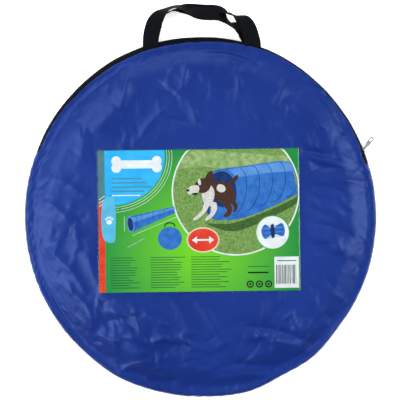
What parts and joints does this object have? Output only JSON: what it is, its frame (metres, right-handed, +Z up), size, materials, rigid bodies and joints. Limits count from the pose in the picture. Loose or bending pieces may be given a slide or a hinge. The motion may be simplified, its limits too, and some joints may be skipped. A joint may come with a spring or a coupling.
{
  "type": "packed agility tunnel",
  "caption": "Pop-up pet agility tunnel folded flat in a round zipped nylon carry bag with webbing handles, a printed card and ground pegs inside.",
  "frame": {"origin": "centre of the round back panel, on the face that rests on the floor", "axes": "+Z up out of the label side, +Y towards the carry handles, +X to the right as seen from above with the handles away"},
  "size_m": [0.5238, 0.5781, 0.0375],
  "materials": {
    "bag_cloth": "satin woven nylon",
    "zip_cloth": "knitted zip tape",
    "zip_coil": "nylon coil",
    "zip_metal": "silver enamel",
    "webbing": "flat webbing",
    "printed_card": "printed",
    "clear_film": "clear film",
    "tunnel_cloth": "thin woven nylon",
    "hem_cloth": "folded nylon",
    "spring_steel": "drawn wire",
    "ribbon": "woven ribbon",
    "peg_steel": "zinc plated",
    "band": "elastic band"
  },
  "bodies": {
    "bag": {"back_panel": "bag_cloth", "gusset": "bag_cloth", "front_panel": "bag_cloth", "zip_tape_back": "zip_cloth", "zip_coil_back": "zip_coil", "zip_front_end_right": "zip_coil", "zip_front_end_left": "zip_coil", "zip_bottom_stop": "zip_metal", "zip_top_stop": "zip_metal", "handle_back_ends": "webbing", "label_card": "printed_card", "label_film": "clear_film"},
    "flap": {"front_flap": "bag_cloth", "zip_tape_front": "zip_cloth", "zip_coil_front": "zip_coil", "handle_front_ends": "webbing"},
    "slider": {"zip_slider": "zip_metal"},
    "pull_tab": {"zip_pull_tab": "zip_metal"},
    "front_handle": {"handle_front": "webbing"},
    "back_handle": {"handle_back": "webbing"},
    "tunnel": {"spring_wire": "spring_steel", "tunnel_skin": "tunnel_cloth", "wire_casing": "tunnel_cloth", "end_hem_back": "hem_cloth", "end_hem_front": "hem_cloth", "tie_ribbon_1": "ribbon", "tie_ribbon_2": "ribbon", "tie_ribbon_3": "ribbon", "tie_ribbon_4": "ribbon", "peg_loop_1": "ribbon", "peg_loop_2": "ribbon", "peg_loop_3": "ribbon", "peg_loop_4": "ribbon", "peg_loop_5": "ribbon", "peg_loop_6": "ribbon", "peg_1": "peg_steel", "peg_2": "peg_steel", "peg_3": "peg_steel", "peg_4": "peg_steel", "peg_5": "peg_steel", "peg_6": "peg_steel", "peg_band": "band"}
  },
  "joints": [
    {"name": "mouth_open", "type": "hinge", "parent": "bag", "child": "flap", "pos_m": [0, 0.115, 0.037], "axis": [1, 0, 0], "range_deg": [0, 115], "deforming": ["zip_tape_front", "zip_coil_front"]},
    {"name": "tunnel_slide", "type": "slide", "parent": "bag", "child": "tunnel", "axis": [0, 1, 0], "range_m": [0, 0.56], "deforming": ["zip_tape_back", "zip_coil_back"]},
    {"name": "zip_slide", "type": "hinge", "parent": "bag", "child": "slider", "pos_m": [0, 0, 0.0158], "axis": [0, 0, 1], "range_deg": [-3.4, 133.6]},
    {"name": "pull_tab_swing", "type": "hinge", "parent": "slider", "child": "pull_tab", "pos_m": [0.24632, 0.10354, 0.0158], "axis": [0, 0, 1], "range_deg": [-75, 40]},
    {"name": "handle_front_swing", "type": "hinge", "parent": "flap", "child": "front_handle", "pos_m": [0, 0.25795, 0.031], "axis": [1, 0, 0], "range_deg": [0, 140]},
    {"name": "handle_back_swing", "type": "hinge", "parent": "bag", "child": "back_handle", "pos_m": [0, 0.25795, 0.0012], "axis": [1, 0, 0], "range_deg": [0, 84]}
  ],
  "couplings": [
    {"joint": "tunnel_slide", "follows": "mouth_open", "m_per_rad": 0.279},
    {"joint": "handle_back_swing", "follows": "handle_front_swing", "ratio": 0.6}
  ]
}
